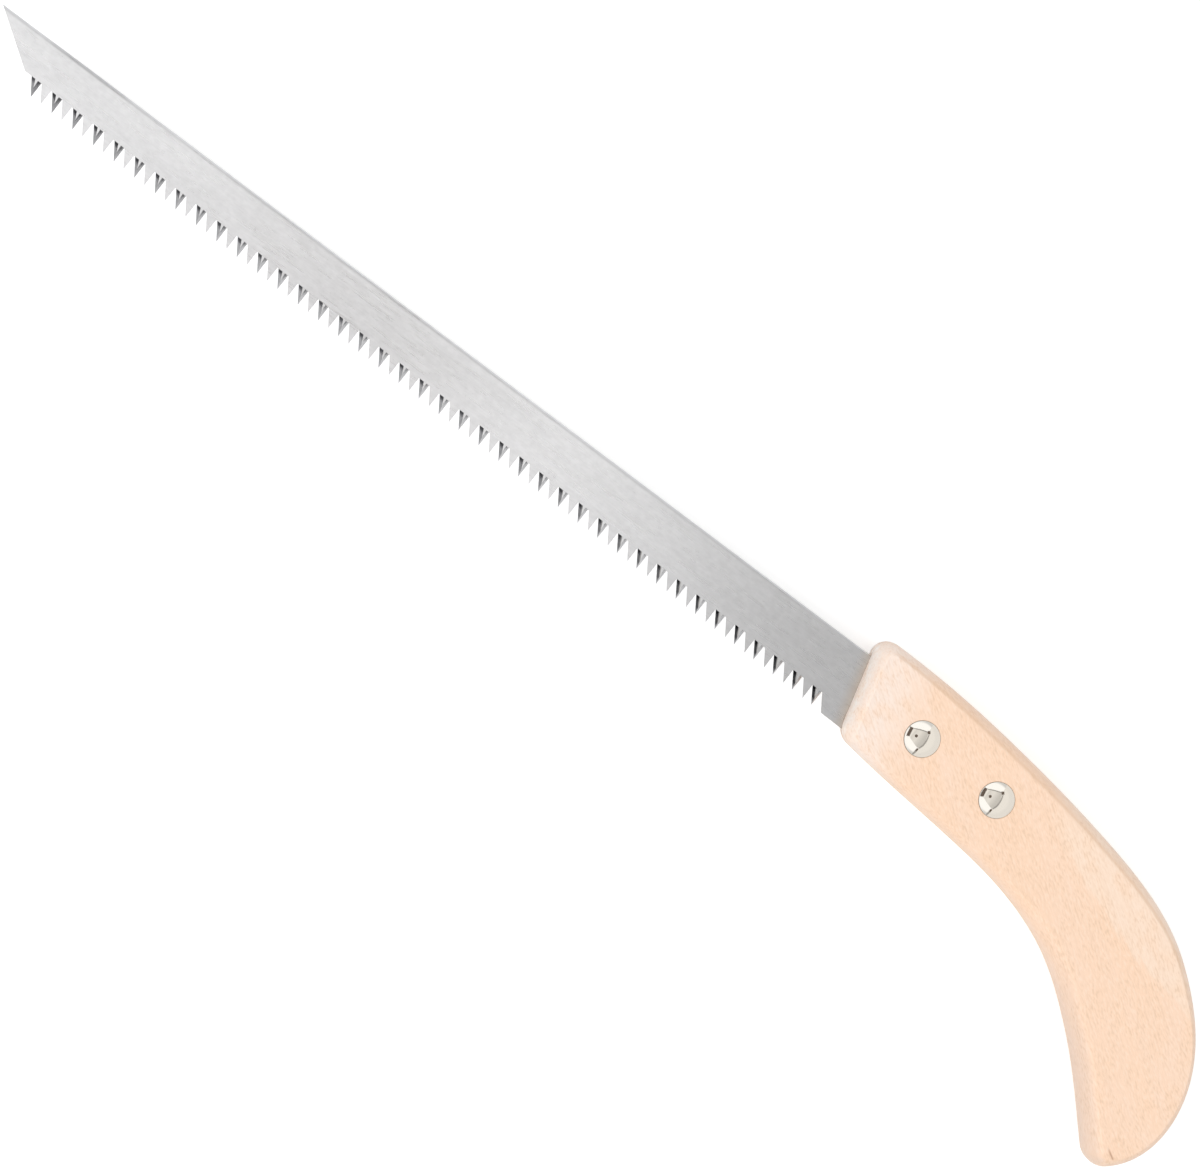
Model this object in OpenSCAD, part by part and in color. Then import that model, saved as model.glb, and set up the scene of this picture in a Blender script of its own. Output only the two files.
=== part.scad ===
// Pruning saw with a fixed, straight blade riveted into a curved wooden handle.
// Lengths are in millimetres. The saw lies flat: +X runs from the blade's toe to the
// handle, +Y from the teeth to the spine, and +Z up. Drawing dimensions are taken from
// the point where the spine enters the handle, and the saw is then moved to its origin.

/* [Blade] */
// Length of the bare spine, from its tip to the handle
blade_reach = 298.6; // [240:0.1:360]
// Thickness of the blade's sheet
blade_t = 1.2; // [0.9:0.1:1.6]
// Depth of the blade from the spine to the first tooth's tip, at the toe
toe_depth = 15.8; // [13:0.1:19]
// Depth of the blade from the spine to the last tooth's tip, at the heel
heel_depth = 21.3; // [19.5:0.1:22]
// Angle between the spine and the cut across the toe
toe_angle = 35.5; // [28:0.5:45]

/* [Teeth] */
// Number of teeth
tooth_count = 79; // [50:1:79]
// Distance from tip to tip along the tooth line
tooth_pitch = 3.5; // [2.8:0.1:3.5]
// Height of a tooth from the gullet to its tip
tooth_h = 4.8; // [3.5:0.1:5.5]
// Flat left at the bottom of each gullet
gullet_flat = 0.25; // [0.1:0.05:0.6]
// Width at the root of the bevel on the tooth's side towards the toe
toe_bevel = 1.4; // [0.8:0.05:1.5]
// Width at the root of the bevel on the tooth's side towards the heel
heel_bevel = 0.95; // [0.5:0.05:1.1]
// Distance from the root down to the point where the two bevels meet
bevel_rise = 2.2; // [1.5:0.1:3.2]
// Where that point lies, as a share of the tooth's width there, from its heel side
bevel_meet = 0.45; // [0.35:0.05:0.55]
// How far each tip is bent out of the sheet, to alternate sides
tooth_set = 0.25; // [0.1:0.05:0.4]
// Plain edge between the last tooth's tip and the handle
heel_land = 5.1; // [4:0.1:12]

/* [Tang] */
// Length of the tang inside the handle
tang_l = 74; // [66:0.5:80]
// Radius of the tang's round end
tang_end_r = 8; // [6:0.5:9]
// Depth of the round end's centre below the spine
tang_end_drop = 14; // [12:0.5:16]
// How far inside the handle the tang starts to narrow
tang_neck = 8; // [6:0.5:14]

/* [Handle] */
// Length of the handle along the spine's line
handle_l = 151.3; // [148:0.1:157]
// Thickness of the handle
handle_t = 20; // [18:0.5:24]
// Slant of the front end from square
front_slant = 13.9; // [10:0.1:16]
// Depth of the tail's lowest point below the spine
tail_drop = 78.5; // [76:0.1:84]
// Height of the crest above the spine
crest_rise = 6.9; // [6:0.1:8]
// Radius of the corner between the front end and the crest
brow_r = 4.7; // [4.6:0.1:6]
// Depth below the spine at which the front end's line meets the underside's
chin_drop = 23.4; // [22.5:0.1:25]
// Radius of the corner between the front end and the underside
lip_r = 6.1; // [4.8:0.1:7]

/* [Handle curve] */
// Distance behind the spine's entry of the point where the back starts to slope down
saddle_x = 38.8; // [36:0.1:43]
// Height of that point above the spine
saddle_rise = 5.2; // [4.5:0.1:5.8]
// Slope of the back at that point
saddle_slope = 6; // [4:0.5:8]
// Distance behind the spine's entry of the point where the back starts to curve down
back_x = 86.7; // [83:0.1:90]
// Depth of that point below the spine
back_drop = 1.9; // [1:0.1:3.5]
// Slope of the back at that point
back_slope = 11.5; // [9:0.5:14]
// Distance from the tail's end forward to the shoulder
shoulder_back = 26.3; // [24:0.1:29]
// Depth of the shoulder below the spine
shoulder_drop = 16.1; // [14.5:0.1:18]
// Slope of the back at the shoulder
shoulder_slope = 36; // [32:1:40]
// Distance from the tail's end forward to the rump
rump_back = 6.5; // [5.5:0.1:7.5]
// Depth of the rump below the spine
rump_drop = 36.6; // [35:0.1:38]
// Slope of the back at the rump
rump_slope = 59; // [55:1:63]
// Height of the tail's outermost point above its lowest point
tail_h = 20.6; // [19:0.1:22.5]
// Distance from the tail's end forward to its lowest point
foot_back = 11.9; // [10.5:0.1:13]
// Radius of the corner at the lowest point
foot_r = 5; // [4.9:0.1:6.5]
// Slope of the tail's end where that corner starts
foot_slope = 37; // [33:1:41]
// Slope of the palm where that corner ends
palm_slope = 47; // [44:1:50]
// Distance behind the spine's entry of the point where the palm's curve turns
grip_x = 111.1; // [108:0.1:114]
// Depth of that point below the spine
grip_drop = 52.2; // [51:0.1:53.5]
// Slope of the palm at that point
grip_slope = 40; // [37:0.5:43]
// Distance behind the spine's entry of the middle of the belly
belly_x = 89.2; // [87:0.1:92]
// Depth of the middle of the belly below the spine
belly_drop = 37.2; // [36:0.1:38.5]
// Slope of the belly at its middle
belly_slope = 25; // [22.5:0.5:27.5]
// Distance behind the spine's entry of the point where the underside starts to curve down
under_x = 59.2; // [56:0.1:62]
// Depth of that point below the spine
under_drop = 29.1; // [28.3:0.1:30]
// Slope of the underside at that point
under_slope = 7; // [6:0.5:9]
// Slope of the underside where it leaves the front end's corner
chin_slope = 8; // [6:0.5:9]

/* [Handle rounding] */
// How far the rounding goes into the handle's thickness, from both sides
round_depth = 9.2; // [7:0.1:9.3]
// How far it reaches in from the edge at the front end
front_round = 3.8; // [2.5:0.1:4.5]
// How far it reaches in along the back
back_round = 4.4; // [3:0.1:6]
// How far it reaches in round the tail
tail_round = 4.6; // [3:0.1:4.8]
// How far it reaches in along the palm and the belly
belly_round = 4.6; // [3:0.1:4.8]
// How far it reaches in along the underside
under_round = 3.6; // [2.5:0.1:4.7]

/* [Saw cut] */
// Clearance on each side of the blade in the handle's saw cut
cut_clear = 0.05; // [0.02:0.01:0.15]
// Length of the cut beyond the tang's end
cut_end_gap = 6; // [3:0.5:10]
// Radius of the slitting saw that makes the cut
cut_saw_r = 60; // [50:1:80]

/* [Rivets] */
// Distance of the front rivet behind the spine's entry
rivet_x = 23.9; // [20:0.1:26]
// Distance from the front rivet to the rear one, along the spine
rivet_pitch = 27.6; // [22:0.1:30]
// Depth of the front rivet below the spine
front_rivet_drop = 10.4; // [9.5:0.1:11.5]
// Depth of the rear rivet below the spine
rear_rivet_drop = 11.6; // [11:0.1:13]
// Diameter of the rivet heads
head_d = 10.4; // [9:0.1:12]
// Thickness of a head's rim, which is let into the wood
head_rim = 1; // [0.6:0.1:1.5]
// Height of a head's dome above the wood
dome_rise = 1.6; // [1:0.1:2.4]
// Clearance round a head in its counterbore
head_clear = 0.15; // [0.05:0.05:0.3]
// Diameter of the socket's barrel
barrel_d = 5.8; // [5:0.1:6.4]
// Clearance round the barrel in the wood and the blade
barrel_clear = 0.08; // [0.05:0.01:0.15]
// Diameter of the stud's shank
shank_d = 3.8; // [3:0.1:4.2]
// Clearance round the shank in the barrel
shank_clear = 0.05; // [0.02:0.01:0.1]
// Space left at the shank's end and at the barrel's end
end_clear = 0.5; // [0.3:0.1:1.5]

/* [Hidden] */
$fn = 96;

// Steps of each stretch of the handle's outline, and of its rounding
corner_steps = 6;
stretch_steps = 5;
bend_steps = 6;
tail_steps = 6;
round_steps = 6;

// How far cutting tools run past a surface
overrun = 1;
// How far each tooth's root is sunk in the sheet, and how much narrower it is there
root_sink = 0.4;
root_inset = 0.1;

// Fall of the tooth line towards the heel, and where its ends lie
tooth_line_l = (tooth_count - 1) * tooth_pitch;
tooth_fall = asin((heel_depth - toe_depth) / tooth_line_l);
first_tip = [-heel_land - tooth_line_l * cos(tooth_fall), -toe_depth];
tooth_w = tooth_pitch - gullet_flat;

// Rivet centres
front_rivet = [rivet_x, -front_rivet_drop];
rear_rivet = [rivet_x + rivet_pitch, -rear_rivet_drop];
side_z = handle_t / 2;
seat_z = side_z - head_rim;

// Knots of the handle's outline, clockwise from the front end's upper corner:
// along, up, heading in degrees, and how far the rounding reaches in
brow_tangent = brow_r * tan((90 + front_slant) / 2);
crest_corner = [-crest_rise * tan(front_slant), crest_rise];
brow_at = crest_corner - brow_tangent * direction(90 + front_slant);
brow = [brow_at.x, brow_at.y, 90 + front_slant, front_round];
crest = [crest_corner.x + brow_tangent, crest_rise, 0, front_round];
saddle = [saddle_x, saddle_rise, -saddle_slope, back_round];
back = [back_x, -back_drop, -back_slope, back_round];
shoulder = [
    handle_l - shoulder_back,
    -shoulder_drop,
    -shoulder_slope,
    (back_round + tail_round) / 2
];
rump = [handle_l - rump_back, -rump_drop, -rump_slope, tail_round];
tail_end = [handle_l, tail_h - tail_drop, -90, tail_round];
foot_centre = [handle_l - foot_back, foot_r - tail_drop];
foot_at = foot_centre + foot_r * direction(foot_slope - 90);
foot = [foot_at.x, foot_at.y, foot_slope - 180, tail_round];
palm_at = foot_centre - foot_r * direction(90 - palm_slope);
palm = [palm_at.x, palm_at.y, -180 - palm_slope, belly_round];
grip = [grip_x, -grip_drop, -180 - grip_slope, belly_round];
belly = [belly_x, -belly_drop, -180 - belly_slope, belly_round];
under = [under_x, -under_drop, -180 - under_slope, under_round];
lip_turn = 90 - chin_slope - front_slant;
lip_tangent = lip_r * tan(lip_turn / 2);
lip_corner = [chin_drop * tan(front_slant), -chin_drop];
chin_at = lip_corner - lip_tangent * direction(-180 - chin_slope);
chin = [chin_at.x, chin_at.y, -180 - chin_slope, under_round];
lip_at = lip_corner + lip_tangent * direction(front_slant - 270);
lip = [lip_at.x, lip_at.y, front_slant - 270, front_round];

// The saw's origin: the middle of its length and width, under its lowest point
origin = [(handle_l - blade_reach) / 2, (crest_rise - tail_drop) / 2, -side_z - dome_rise];

function direction(angle) = [cos(angle), sin(angle)];

// Length of a curve's arms, as a share of its chord: a circle's arc when it turns evenly
function arm_share(turn) =
    abs(turn) < 1 ? 1 / 3 : (2 / 3) * tan(turn / 4) / sin(turn / 2);

// Point of the outline between knots a and b: place, outward direction, rounding's reach
function outline_point(a, b, u) =
    let (
        start = [a.x, a.y],
        end = [b.x, b.y],
        arm = norm(end - start) * arm_share(b[2] - a[2]),
        leave = start + arm * direction(a[2]),
        arrive = end - arm * direction(b[2]),
        v = 1 - u,
        place = v * v * v * start + 3 * u * v * v * leave + 3 * u * u * v * arrive + u * u * u * end,
        along = v * v * (leave - start) + 2 * u * v * (arrive - leave) + u * u * (end - arrive),
        ease = u * u * (3 - 2 * u)
    )
    [place, [-along.y, along.x] / norm(along), a[3] + (b[3] - a[3]) * ease];

function stretch(a, b, steps) = [for (i = [0:steps - 1]) outline_point(a, b, i / steps)];

// The same stretch from b back to a, for the edge that is paired with the back
function stretch_back(a, b, steps) = [for (i = [0:steps - 1]) outline_point(a, b, 1 - i / steps)];

function reversed(list) = [for (i = [len(list) - 1:-1:0]) list[i]];

// A blade-shaped outline: the toe's cut, the gullet line, the heel's land and the tang
module blade_outline() {
    on_line = direction(-tooth_fall);
    up_line = direction(90 - tooth_fall);
    first_gullet = first_tip - tooth_w * on_line + tooth_h * up_line;
    last_gullet = first_tip + (tooth_line_l + gullet_flat) * on_line + tooth_h * up_line;
    land_start = first_tip + (tooth_line_l + tooth_pitch) * on_line;
    land_depth = -land_start.y + (tang_neck - land_start.x) * tan(tooth_fall);
    toe_low = [
        -blade_reach + (-first_gullet.y / tan(toe_angle)),
        first_gullet.y
    ];
    end_centre = [tang_l - tang_end_r, -tang_end_drop];
    tang_end = [for (a = [-90:15:90]) end_centre + tang_end_r * direction(a)];
    polygon(concat(
        [
            [-blade_reach, 0],
            toe_low,
            first_gullet,
            last_gullet,
            land_start,
            [tang_neck, -land_depth]
        ],
        tang_end,
        [[tang_neck, 0]]
    ));
}

// One tooth with its tip at the origin: a bevelled face on one side, a flat one on the
// other, and the tip bent towards the flat one. Side is 1 for bevels that face up.
module tooth(side) {
    half_t = blade_t / 2;
    meet = bevel_rise / tooth_h;
    flat_z = -half_t * side;
    bevel_z = half_t * side;
    root = [
        [-tooth_w, tooth_h, flat_z],
        [0, tooth_h, flat_z],
        [-heel_bevel, tooth_h, bevel_z],
        [toe_bevel - tooth_w, tooth_h, bevel_z]
    ];
    sunk = [
        for (i = [0:3])
            [
                root[i].x * (1 - root_inset),
                tooth_h + root_sink,
                root[i].z * (1 - root_inset)
            ]
    ];
    tip = [0, 0, flat_z - side * tooth_set];
    bevel_tip = [
        -bevel_meet * tooth_w * (1 - meet),
        tooth_h - bevel_rise,
        bevel_z - side * tooth_set * meet
    ];
    upper = [
        [0, 8, 1],
        [2, 9, 3],
        [1, 9, 2],
        [1, 8, 9],
        [3, 9, 0],
        [0, 9, 8]
    ];
    sunk_sides = [
        for (i = [0:3])
            let (j = (i + 1) % 4)
            each [[i, j, 4 + i], [4 + i, j, 4 + j]]
    ];
    cap = [[4, 5, 6], [4, 6, 7]];
    faces = concat(upper, sunk_sides, cap);
    polyhedron(
        points = concat(root, sunk, [tip, bevel_tip]),
        faces = side > 0 ? faces : [for (f = faces) reversed(f)]
    );
}

module teeth() {
    translate(first_tip)
        rotate(-tooth_fall)
            for (i = [0:tooth_count - 1])
                translate([i * tooth_pitch, 0])
                    tooth(i % 2 == 0 ? 1 : -1);
}

module blade_body() {
    difference() {
        linear_extrude(blade_t, center = true)
            blade_outline();
        barrel_holes();
    }
    teeth();
}

// Holes for the rivets' barrels, through everything
module barrel_holes() {
    for (centre = [front_rivet, rear_rivet])
        translate(centre)
            cylinder(d = barrel_d + 2 * barrel_clear, h = handle_t + 2 * overrun, center = true);
}

// The handle before it is cut: its outline with an elliptical rounding from both sides
module handle_blank() {
    top = concat(
        stretch(brow, crest, corner_steps),
        stretch(crest, saddle, stretch_steps),
        stretch(saddle, back, stretch_steps),
        stretch(back, shoulder, bend_steps),
        stretch(shoulder, rump, stretch_steps),
        [outline_point(shoulder, rump, 1)]
    );
    low = concat(
        stretch_back(chin, lip, corner_steps),
        stretch_back(under, chin, stretch_steps),
        stretch_back(belly, under, stretch_steps),
        stretch_back(grip, belly, bend_steps),
        stretch_back(palm, grip, stretch_steps),
        [outline_point(palm, grip, 0)]
    );
    tail = concat(
        [for (i = [1:tail_steps - 1]) outline_point(rump, tail_end, i / tail_steps)],
        stretch(tail_end, foot, tail_steps),
        stretch(foot, palm, tail_steps)
    );
    edge = concat(top, tail, reversed(low));
    n = len(edge);
    m = len(top);
    upper_angles = [for (i = [0:round_steps]) 90 * (1 - i / round_steps)];
    levels = concat(
        [for (a = upper_angles) [1, a]],
        [for (a = reversed(upper_angles)) [-1, a]]
    );
    points = [
        for (level = levels)
            for (p = edge)
                let (
                    place = p[0] - p[1] * p[2] * (1 - cos(level[1])),
                    z = side_z - round_depth * (1 - sin(level[1]))
                )
                [place.x, place.y, level[0] * z]
    ];
    wall = [
        for (k = [0:len(levels) - 2])
            for (i = [0:n - 1])
                let (j = (i + 1) % n)
                each [
                    [k * n + j, k * n + i, (k + 1) * n + i],
                    [k * n + j, (k + 1) * n + i, (k + 1) * n + j]
                ]
    ];
    side = concat(
        [
            for (i = [0:m - 2])
                each [[i, i + 1, n - 2 - i], [i, n - 2 - i, n - 1 - i]]
        ],
        [for (i = [m - 1:n - m - 2]) [i, i + 1, n - m]]
    );
    last = (len(levels) - 1) * n;
    under = [for (f = side) [last + f[2], last + f[1], last + f[0]]];
    polyhedron(points = points, faces = concat(side, wall, under));
}

// The disc that a slitting saw sweeps to let the blade in from the front end
module saw_cut() {
    cut_depth = tang_l + cut_end_gap;
    translate([cut_depth - cut_saw_r, -tang_end_drop])
        cylinder(r = cut_saw_r, h = blade_t + 2 * cut_clear, center = true, $fn = 2 * $fn);
}

module head_seats() {
    for (centre = [front_rivet, rear_rivet])
        for (side = [0, 1])
            translate(centre)
                mirror([0, 0, side])
                    translate([0, 0, seat_z])
                        cylinder(d = head_d + 2 * head_clear, h = head_rim + overrun);
}

module handle_body() {
    difference() {
        handle_blank();
        saw_cut();
        barrel_holes();
        head_seats();
    }
}

// A head that sits on the plane z = 0: a straight rim under a dome
module rivet_head() {
    head_r = head_d / 2;
    dome_r = (head_r * head_r + dome_rise * dome_rise) / (2 * dome_rise);
    cylinder(d = head_d, h = head_rim);
    translate([0, 0, head_rim])
        intersection() {
            translate([0, 0, dome_rise - dome_r])
                sphere(r = dome_r);
            cylinder(d = head_d, h = dome_rise);
        }
}

// The solid half of a rivet, with its head up
module stud(centre) {
    shank_l = 2 * seat_z - end_clear;
    translate([centre.x, centre.y, seat_z]) {
        rivet_head();
        translate([0, 0, -shank_l])
            cylinder(d = shank_d, h = shank_l);
    }
}

// The hollow half of a rivet, with its head down and its barrel round the shank
module socket(centre) {
    barrel_l = 2 * seat_z - end_clear;
    translate([centre.x, centre.y, -seat_z])
        difference() {
            union() {
                mirror([0, 0, 1])
                    rivet_head();
                cylinder(d = barrel_d, h = barrel_l);
            }
            cylinder(d = shank_d + 2 * shank_clear, h = barrel_l + overrun);
        }
}

module handle() {
    color("bisque")
        translate(-origin)
            handle_body();
}

module blade() {
    color("lightsteelblue")
        translate(-origin)
            blade_body();
}

module front_rivet_stud() {
    color("gainsboro")
        translate(-origin)
            stud(front_rivet);
}

module front_rivet_socket() {
    color("silver")
        translate(-origin)
            socket(front_rivet);
}

module rear_rivet_stud() {
    color("gainsboro")
        translate(-origin)
            stud(rear_rivet);
}

module rear_rivet_socket() {
    color("silver")
        translate(-origin)
            socket(rear_rivet);
}

handle();
blade();
front_rivet_stud();
front_rivet_socket();
rear_rivet_stud();
rear_rivet_socket();
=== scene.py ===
# %% [markdown]
# A pruning saw
#
# This lesson dresses a pruning saw: a straight steel blade with coarse teeth, riveted into a
# curved beech handle. The saw lies flat. +X runs from the blade's toe to the handle, +Y from
# the teeth to the spine, and +Z up. The CAD model gives each piece its box, so every piece
# here is measured from those boxes and needs no fitting.

import math

import bmesh
import bpy
from mathutils import Matrix, Vector


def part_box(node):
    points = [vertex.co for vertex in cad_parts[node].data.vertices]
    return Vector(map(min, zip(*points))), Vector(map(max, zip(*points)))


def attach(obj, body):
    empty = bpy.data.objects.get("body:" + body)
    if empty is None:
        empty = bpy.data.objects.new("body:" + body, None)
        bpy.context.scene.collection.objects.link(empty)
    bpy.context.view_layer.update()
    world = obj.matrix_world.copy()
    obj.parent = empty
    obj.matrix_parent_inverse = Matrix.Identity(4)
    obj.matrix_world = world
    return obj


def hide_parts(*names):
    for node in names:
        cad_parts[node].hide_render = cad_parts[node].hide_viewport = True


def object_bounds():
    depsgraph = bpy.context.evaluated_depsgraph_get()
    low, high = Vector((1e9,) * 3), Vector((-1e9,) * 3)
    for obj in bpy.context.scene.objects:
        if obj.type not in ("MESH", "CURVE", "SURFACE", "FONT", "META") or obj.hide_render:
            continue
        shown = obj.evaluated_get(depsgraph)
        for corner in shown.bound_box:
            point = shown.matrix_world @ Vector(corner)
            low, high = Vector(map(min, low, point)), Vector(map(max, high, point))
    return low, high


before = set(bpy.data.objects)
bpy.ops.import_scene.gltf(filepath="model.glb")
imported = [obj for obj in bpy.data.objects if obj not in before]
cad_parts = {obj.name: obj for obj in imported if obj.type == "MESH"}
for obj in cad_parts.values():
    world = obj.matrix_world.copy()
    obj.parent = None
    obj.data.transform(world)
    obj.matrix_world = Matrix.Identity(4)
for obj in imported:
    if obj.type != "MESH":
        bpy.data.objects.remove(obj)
cad_box = [list(corner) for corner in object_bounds()]
MM = 0.001
print("nodes", sorted(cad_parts))
print("CAD box in mm", [[round(v / MM, 1) for v in corner] for corner in cad_box])

# %% [markdown]
# Every size of the saw is in millimetres, from the point where the blade's spine enters the
# handle. That point is easy to find on the real saw, and a maker would measure from it too.
# One function moves such a place into the frame, and another turns an angle into a direction.
# The floor, the lamp and the cards round the saw are placed in the frame's metres.

# %% The saw's own measures
BLADE_REACH = 298.6
BLADE_T = 1.2
HANDLE_T = 20.0
SIDE_Z = HANDLE_T / 2

blade_low, blade_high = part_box("blade")
handle_low, handle_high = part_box("handle")
entry = Vector((
    blade_low.x / MM + BLADE_REACH,
    blade_high.y / MM,
    (handle_low.z + handle_high.z) / 2 / MM,
))


def at(x, y, z=0.0):
    """A place on the saw, in the frame's metres."""
    return (entry + Vector((x, y, z))) * MM


def heading(degrees):
    """A direction in the saw's plane, turned from +X towards +Y."""
    return Vector((math.cos(math.radians(degrees)), math.sin(math.radians(degrees))))


print("spine enters the handle at", [round(v, 2) for v in entry], "mm")

# %% [markdown]
# The camera looks almost straight down, from about 0.8 m, and is turned so that the saw runs
# from the upper left to the lower right. A look direction and an "up" would be enough, but
# three axes written out are plainer: right, up, and the way the camera looks. A long lens
# keeps the teeth nearly the same size from toe to heel. Every object of the lesson, from the
# camera to the blade, is put into the scene by one small function.

# %% Camera
CAMERA_PLACE = (-162.2, -29.3, 786.8)
CAMERA_LEAN = math.radians(6.418)
CAMERA_TURN = math.radians(36.889)
SAW_TURN = math.radians(0.23)
LENS_MM = 85.0
SENSOR_MM = 36.0

along = Vector((math.cos(SAW_TURN), -math.sin(SAW_TURN), 0))
across = Vector((math.sin(SAW_TURN), math.cos(SAW_TURN), 0))
leaned = along * math.cos(CAMERA_LEAN) + Vector((0, 0, math.sin(CAMERA_LEAN)))
look = along * math.sin(CAMERA_LEAN) - Vector((0, 0, math.cos(CAMERA_LEAN)))
right = leaned * math.cos(CAMERA_TURN) + across * math.sin(CAMERA_TURN)
up = across * math.cos(CAMERA_TURN) - leaned * math.sin(CAMERA_TURN)


def put(name, data):
    """Puts a mesh, a lamp or a camera into the scene as an object."""
    thing = bpy.data.objects.new(name, data)
    bpy.context.collection.objects.link(thing)
    return thing


camera_data = bpy.data.cameras.new("camera")
camera_data.lens = LENS_MM
camera_data.sensor_width = SENSOR_MM
camera = put("camera", camera_data)
turned = Matrix((right, up, -look)).transposed().to_4x4()
camera.matrix_world = Matrix.Translation(at(*CAMERA_PLACE)) @ turned
bpy.context.scene.camera = camera
print("camera at", [round(v, 3) for v in camera.matrix_world.translation], "m")

# %% [markdown]
# A node-based material is a list of nodes and the links between them. One small function
# that adds a node, sets it and links it keeps each material short enough to read. Another
# turns the colours that people write, such as F3D9C2, into the linear values that light
# needs. The last two make an empty material and a plain grey.

# %% Helpers for materials


def linear(code):
    """An sRGB colour written in hex, as linear red, green, blue and alpha."""
    parts = [int(code[i:i + 2], 16) / 255 for i in (0, 2, 4)]
    light = [p / 12.92 if p <= 0.04045 else ((p + 0.055) / 1.055) ** 2.4 for p in parts]
    return (*light, 1.0)


def add(tree, kind, settings=None, stops=(), **inputs):
    """Adds a node, with its settings, a ramp's stops, and its inputs as values or as links."""
    node = tree.nodes.new(kind)
    for name, value in (settings or {}).items():
        setattr(node, name, value)
    for i, (place, colour) in enumerate(stops):
        elements = node.color_ramp.elements
        stop = elements[i] if i < len(elements) else elements.new(place)
        stop.position = place
        stop.color = colour
    for name, value in inputs.items():
        key = int(name[1:]) if name[0] == "_" else name.replace("_", " ")
        if isinstance(value, bpy.types.NodeSocket):
            tree.links.new(value, node.inputs[key])
        else:
            node.inputs[key].default_value = value
    return node


def new_material(name):
    """An empty node material."""
    material = bpy.data.materials.new(name)
    material.use_nodes = True
    material.node_tree.nodes.clear()
    return material, material.node_tree


def grey(value):
    """A grey with the same linear value in each channel."""
    return (value, value, value, 1.0)


print("F3D9C2 is", [round(v, 3) for v in linear("F3D9C2")], "in linear light")

# %% [markdown]
# A catalogue picture shows its object on plain white. The world is white to the camera and
# to reflections, and a little dimmer as a lamp, so the wood keeps its colour. The floor is
# white paper with a little glow that only the camera sees, and it still shows the saw's soft
# shadow.

# %% Floor and world
FILL = 0.81
FLOOR_SIZE = 6.0
FLOOR_GLOW = 0.42
PAPER_WHITE = 0.88

bpy.context.scene.view_settings.view_transform = "Standard"

world = bpy.data.worlds.new("white_tent")
bpy.context.scene.world = world
world.use_nodes = True
tree = world.node_tree
tree.nodes.clear()
rays = add(tree, "ShaderNodeLightPath").outputs
shown = rays["Is Camera Ray"]
for ray in ("Is Glossy Ray", "Is Transmission Ray"):
    shown = add(tree, "ShaderNodeMath", {"operation": "ADD", "use_clamp": True}, _0=shown,
                _1=rays[ray]).outputs[0]
strength = add(tree, "ShaderNodeMapRange", Value=shown, To_Min=FILL, To_Max=1.0).outputs[0]
background = add(tree, "ShaderNodeBackground", Color=grey(1.0), Strength=strength)
add(tree, "ShaderNodeOutputWorld", Surface=background.outputs[0])

paper, tree = new_material("white_paper_floor")
rays = add(tree, "ShaderNodeLightPath").outputs
matt = add(tree, "ShaderNodeBsdfDiffuse", Color=grey(PAPER_WHITE))
glow_strength = add(tree, "ShaderNodeMapRange", Value=rays["Is Camera Ray"],
                    To_Min=0.0, To_Max=FLOOR_GLOW).outputs[0]
glow = add(tree, "ShaderNodeEmission", Color=grey(1.0), Strength=glow_strength)
both = add(tree, "ShaderNodeAddShader", _0=matt.outputs[0], _1=glow.outputs[0])
add(tree, "ShaderNodeOutputMaterial", Surface=both.outputs[0])

floor_mesh = bpy.data.meshes.new("floor")
half = FLOOR_SIZE / 2
floor_z = cad_box[0][2]
corners = [(x * half, y * half, floor_z) for x, y in ((-1, -1), (1, -1), (1, 1), (-1, 1))]
floor_mesh.from_pydata(corners, [], [(0, 1, 2, 3)])
floor_mesh.materials.append(paper)
floor = put("floor", floor_mesh)
print("floor at z =", round(floor_z, 4), "m")

# %% [markdown]
# One broad soft lamp stands on the toe's side, so the wood's edges turn gently darker on
# the far side. It is hidden from reflections: what polished metal mirrors is made
# separately, where it can be shaped.

# %% Key light
KEY_POWER = 7.0
KEY_SIZE = 1.0
KEY_PLACE = (-0.78, -0.58, 1.08)

key_data = bpy.data.lights.new("key_softbox", "AREA")
key_data.energy = KEY_POWER
key_data.shape = "SQUARE"
key_data.size = KEY_SIZE
key = put("key_softbox", key_data)
key.location = KEY_PLACE
key.rotation_euler = Vector(KEY_PLACE).to_track_quat("Z", "Y").to_euler()
key.visible_glossy = False
key.visible_camera = False
print("key light at", KEY_PLACE)

# %% [markdown]
# Polished metal is mostly a picture of the room. The rivets of the real saw mirror a light
# tent: a grey opening round the camera, bright panels above and to the left, a pale wall on
# the right, and dark seams between them. Flat cards, seen only by reflections, stand in for
# that tent. They hang level with the camera, so a few corners place them. Far from the saw
# the bright ones are a little dimmer, so that from other sides too the blade is not lost
# against the white paper.

# %% Reflection cards
CARD_Z = 0.8
LAYER_GAP = 0.001
NEAR_M = 1.25
FAR_M = 1.6


def card_material(name, level, far_level, code="FFFFFF"):
    """A card that glows with a tint of light, at one level near the saw and another far off."""
    material, tree = new_material(name)
    place = add(tree, "ShaderNodeTexCoord").outputs["Object"]
    away = add(tree, "ShaderNodeVectorMath", {"operation": "LENGTH"}, _0=place).outputs["Value"]
    strength = add(tree, "ShaderNodeMapRange", {"interpolation_type": "SMOOTHSTEP"}, Value=away,
                   From_Min=NEAR_M, From_Max=FAR_M, To_Min=level, To_Max=far_level).outputs[0]
    glow = add(tree, "ShaderNodeEmission", Color=linear(code), Strength=strength)
    add(tree, "ShaderNodeOutputMaterial", Surface=glow.outputs[0])
    return material


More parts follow.
